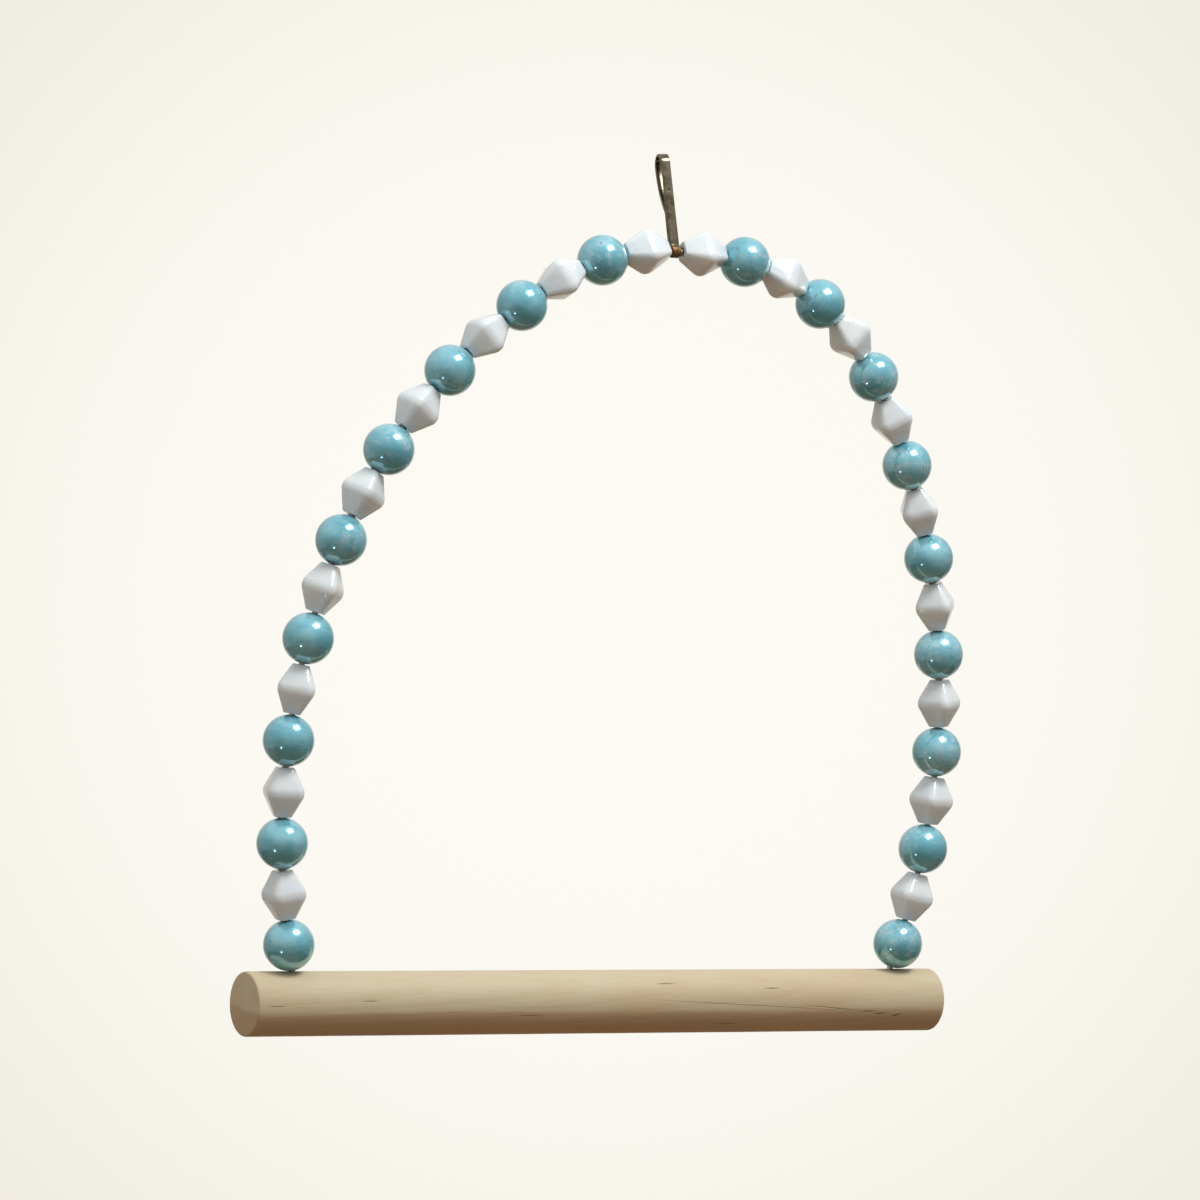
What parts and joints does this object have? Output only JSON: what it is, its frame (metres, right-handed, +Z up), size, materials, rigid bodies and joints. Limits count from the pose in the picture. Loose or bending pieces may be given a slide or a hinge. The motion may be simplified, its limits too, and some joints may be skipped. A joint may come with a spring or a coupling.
{
  "type": "bird swing",
  "caption": "Bird swing: a wooden dowel perch under an arch of wire threaded with round pearl and four-sided white beads, hung by a bent metal strip with a narrow loop.",
  "frame": {"origin": "centre of the bend at the top of the hanger's loop, where the swing is hung", "axes": "+Z up, +X along the perch to the right as pictured, +Y to the back"},
  "size_m": [0.1602, 0.0165, 0.1754],
  "materials": {
    "nickel_strip": "bright nickel plate, slightly worn",
    "steel_wire": "drawn steel wire",
    "perch_wood": "sanded bare wood",
    "pearl_blue": "glossy pearl lustre",
    "milk_white": "glossy milky opal"
  },
  "bodies": {
    "hanger": {"hanger": "nickel_strip"},
    "arch": {"arch_wire": "steel_wire", "perch": "perch_wood"},
    "white_bead_left_9": {"white_bead_left_9": "milk_white"},
    "pearl_bead_left_9": {"pearl_bead_left_9": "pearl_blue"},
    "white_bead_left_8": {"white_bead_left_8": "milk_white"},
    "pearl_bead_left_8": {"pearl_bead_left_8": "pearl_blue"},
    "white_bead_left_7": {"white_bead_left_7": "milk_white"},
    "pearl_bead_left_7": {"pearl_bead_left_7": "pearl_blue"},
    "white_bead_left_6": {"white_bead_left_6": "milk_white"},
    "pearl_bead_left_6": {"pearl_bead_left_6": "pearl_blue"},
    "white_bead_left_5": {"white_bead_left_5": "milk_white"},
    "pearl_bead_left_5": {"pearl_bead_left_5": "pearl_blue"},
    "white_bead_left_4": {"white_bead_left_4": "milk_white"},
    "pearl_bead_left_4": {"pearl_bead_left_4": "pearl_blue"},
    "white_bead_left_3": {"white_bead_left_3": "milk_white"},
    "pearl_bead_left_3": {"pearl_bead_left_3": "pearl_blue"},
    "white_bead_left_2": {"white_bead_left_2": "milk_white"},
    "pearl_bead_left_2": {"pearl_bead_left_2": "pearl_blue"},
    "white_bead_left_1": {"white_bead_left_1": "milk_white"},
    "pearl_bead_left_1": {"pearl_bead_left_1": "pearl_blue"},
    "white_bead_right_9": {"white_bead_right_9": "milk_white"},
    "pearl_bead_right_9": {"pearl_bead_right_9": "pearl_blue"},
    "white_bead_right_8": {"white_bead_right_8": "milk_white"},
    "pearl_bead_right_8": {"pearl_bead_right_8": "pearl_blue"},
    "white_bead_right_7": {"white_bead_right_7": "milk_white"},
    "pearl_bead_right_7": {"pearl_bead_right_7": "pearl_blue"},
    "white_bead_right_6": {"white_bead_right_6": "milk_white"},
    "pearl_bead_right_6": {"pearl_bead_right_6": "pearl_blue"},
    "white_bead_right_5": {"white_bead_right_5": "milk_white"},
    "pearl_bead_right_5": {"pearl_bead_right_5": "pearl_blue"},
    "white_bead_right_4": {"white_bead_right_4": "milk_white"},
    "pearl_bead_right_4": {"pearl_bead_right_4": "pearl_blue"},
    "white_bead_right_3": {"white_bead_right_3": "milk_white"},
    "pearl_bead_right_3": {"pearl_bead_right_3": "pearl_blue"},
    "white_bead_right_2": {"white_bead_right_2": "milk_white"},
    "pearl_bead_right_2": {"pearl_bead_right_2": "pearl_blue"},
    "white_bead_right_1": {"white_bead_right_1": "milk_white"},
    "pearl_bead_right_1": {"pearl_bead_right_1": "pearl_blue"}
  },
  "joints": [
    {"name": "swing", "type": "hinge", "parent": "hanger", "child": "arch", "pos_m": [-0.00038, -0.00774, -0.01676], "axis": [1, 0, 0], "range_deg": [-110, 70]},
    {"name": "white_bead_left_9_spin", "type": "hinge", "parent": "arch", "child": "white_bead_left_9", "pos_m": [-0.00689, -0.00774, -0.01715], "axis": [0.9943, 0, 0.107], "continuous": true},
    {"name": "pearl_bead_left_9_spin", "type": "hinge", "parent": "arch", "child": "pearl_bead_left_9", "pos_m": [-0.01664, -0.00774, -0.01933], "axis": [0.9459, 0, 0.3244], "continuous": true},
    {"name": "white_bead_left_8_spin", "type": "hinge", "parent": "arch", "child": "white_bead_left_8", "pos_m": [-0.02571, -0.00774, -0.02355], "axis": [0.8624, 0, 0.5061], "continuous": true},
    {"name": "pearl_bead_left_8_spin", "type": "hinge", "parent": "arch", "child": "pearl_bead_left_8", "pos_m": [-0.03407, -0.00774, -0.02909], "axis": [0.8056, 0, 0.5925], "continuous": true},
    {"name": "white_bead_left_7_spin", "type": "hinge", "parent": "arch", "child": "white_bead_left_7", "pos_m": [-0.04187, -0.00774, -0.0354], "axis": [0.7465, 0, 0.6654], "continuous": true},
    {"name": "pearl_bead_left_7_spin", "type": "hinge", "parent": "arch", "child": "pearl_bead_left_7", "pos_m": [-0.04904, -0.00774, -0.04243], "axis": [0.6808, 0, 0.7324], "continuous": true},
    {"name": "white_bead_left_6_spin", "type": "hinge", "parent": "arch", "child": "white_bead_left_6", "pos_m": [-0.05552, -0.00774, -0.05009], "axis": [0.6092, 0, 0.793], "continuous": true},
    {"name": "pearl_bead_left_6_spin", "type": "hinge", "parent": "arch", "child": "pearl_bead_left_6", "pos_m": [-0.06125, -0.00774, -0.05833], "axis": [0.5322, 0, 0.8466], "continuous": true},
    {"name": "white_bead_left_5_spin", "type": "hinge", "parent": "arch", "child": "white_bead_left_5", "pos_m": [-0.06619, -0.00774, -0.06706], "axis": [0.4505, 0, 0.8928], "continuous": true},
    {"name": "pearl_bead_left_5_spin", "type": "hinge", "parent": "arch", "child": "pearl_bead_left_5", "pos_m": [-0.07028, -0.00774, -0.07623], "axis": [0.3648, 0, 0.9311], "continuous": true},
    {"name": "white_bead_left_4_spin", "type": "hinge", "parent": "arch", "child": "white_bead_left_4", "pos_m": [-0.07351, -0.00774, -0.08573], "axis": [0.2774, 0, 0.9608], "continuous": true},
    {"name": "pearl_bead_left_4_spin", "type": "hinge", "parent": "arch", "child": "pearl_bead_left_4", "pos_m": [-0.07591, -0.00774, -0.09547], "axis": [0.2038, 0, 0.979], "continuous": true},
    {"name": "white_bead_left_3_spin", "type": "hinge", "parent": "arch", "child": "white_bead_left_3", "pos_m": [-0.07761, -0.00774, -0.10537], "axis": [0.1331, 0, 0.9911], "continuous": true},
    {"name": "pearl_bead_left_3_spin", "type": "hinge", "parent": "arch", "child": "pearl_bead_left_3", "pos_m": [-0.07858, -0.00774, -0.11536], "axis": [0.0617, 0, 0.9981], "continuous": true},
    {"name": "white_bead_left_2_spin", "type": "hinge", "parent": "arch", "child": "white_bead_left_2", "pos_m": [-0.07885, -0.00774, -0.1254], "axis": [-0.01, 0, 1], "continuous": true},
    {"name": "pearl_bead_left_2_spin", "type": "hinge", "parent": "arch", "child": "pearl_bead_left_2", "pos_m": [-0.07838, -0.00774, -0.13542], "axis": [-0.0816, 0, 0.9967], "continuous": true},
    {"name": "white_bead_left_1_spin", "type": "hinge", "parent": "arch", "child": "white_bead_left_1", "pos_m": [-0.07721, -0.00774, -0.14539], "axis": [-0.1528, 0, 0.9883], "continuous": true},
    {"name": "pearl_bead_left_1_spin", "type": "hinge", "parent": "arch", "child": "pearl_bead_left_1", "pos_m": [-0.07534, -0.00774, -0.15526], "axis": [-0.2146, 0, 0.9767], "continuous": true},
    {"name": "white_bead_right_9_spin", "type": "hinge", "parent": "arch", "child": "white_bead_right_9", "pos_m": [0.00614, -0.00774, -0.01692], "axis": [-0.9991, 0, 0.0423], "continuous": true},
    {"name": "pearl_bead_right_9_spin", "type": "hinge", "parent": "arch", "child": "pearl_bead_right_9", "pos_m": [0.0161, -0.00774, -0.01799], "axis": [-0.9828, 0, 0.1846], "continuous": true},
    {"name": "white_bead_right_8_spin", "type": "hinge", "parent": "arch", "child": "white_bead_right_8", "pos_m": [0.0257, -0.00774, -0.0208], "axis": [-0.9262, 0, 0.377], "continuous": true},
    {"name": "pearl_bead_right_8_spin", "type": "hinge", "parent": "arch", "child": "pearl_bead_right_8", "pos_m": [0.03454, -0.00774, -0.02549], "axis": [-0.8324, 0, 0.5542], "continuous": true},
    {"name": "white_bead_right_7_spin", "type": "hinge", "parent": "arch", "child": "white_bead_right_7", "pos_m": [0.04227, -0.00774, -0.03184], "axis": [-0.705, 0, 0.7092], "continuous": true},
    {"name": "pearl_bead_right_7_spin", "type": "hinge", "parent": "arch", "child": "pearl_bead_right_7", "pos_m": [0.04859, -0.00774, -0.03959], "axis": [-0.5591, 0, 0.8291], "continuous": true},
    {"name": "white_bead_right_6_spin", "type": "hinge", "parent": "arch", "child": "white_bead_right_6", "pos_m": [0.05377, -0.00774, -0.04819], "axis": [-0.48, 0, 0.8773], "continuous": true},
    {"name": "pearl_bead_right_6_spin", "type": "hinge", "parent": "arch", "child": "pearl_bead_right_6", "pos_m": [0.05827, -0.00774, -0.05716], "axis": [-0.4158, 0, 0.9094], "continuous": true},
    {"name": "white_bead_right_5_spin", "type": "hinge", "parent": "arch", "child": "white_bead_right_5", "pos_m": [0.06212, -0.00774, -0.06644], "axis": [-0.3496, 0, 0.9369], "continuous": true},
    {"name": "pearl_bead_right_5_spin", "type": "hinge", "parent": "arch", "child": "pearl_bead_right_5", "pos_m": [0.06528, -0.00774, -0.07596], "axis": [-0.2815, 0, 0.9596], "continuous": true},
    {"name": "white_bead_right_4_spin", "type": "hinge", "parent": "arch", "child": "white_bead_right_4", "pos_m": [0.06777, -0.00774, -0.08569], "axis": [-0.212, 0, 0.9773], "continuous": true},
    {"name": "pearl_bead_right_4_spin", "type": "hinge", "parent": "arch", "child": "pearl_bead_right_4", "pos_m": [0.06954, -0.00774, -0.09557], "axis": [-0.1414, 0, 0.9899], "continuous": true},
    {"name": "white_bead_right_3_spin", "type": "hinge", "parent": "arch", "child": "white_bead_right_3", "pos_m": [0.0706, -0.00774, -0.10555], "axis": [-0.0701, 0, 0.9975], "continuous": true},
    {"name": "pearl_bead_right_3_spin", "type": "hinge", "parent": "arch", "child": "pearl_bead_right_3", "pos_m": [0.07094, -0.00774, -0.11559], "axis": [0.0016, 0, 1], "continuous": true},
    {"name": "white_bead_right_2_spin", "type": "hinge", "parent": "arch", "child": "white_bead_right_2", "pos_m": [0.07057, -0.00774, -0.12562], "axis": [0.0733, 0, 0.9973], "continuous": true},
    {"name": "pearl_bead_right_2_spin", "type": "hinge", "parent": "arch", "child": "pearl_bead_right_2", "pos_m": [0.06947, -0.00774, -0.1356], "axis": [0.1446, 0, 0.9895], "continuous": true},
    {"name": "white_bead_right_1_spin", "type": "hinge", "parent": "arch", "child": "white_bead_right_1", "pos_m": [0.06767, -0.00774, -0.14547], "axis": [0.2151, 0, 0.9766], "continuous": true},
    {"name": "pearl_bead_right_1_spin", "type": "hinge", "parent": "arch", "child": "pearl_bead_right_1", "pos_m": [0.06518, -0.00774, -0.1552], "axis": [0.2761, 0, 0.9611], "continuous": true}
  ]
}
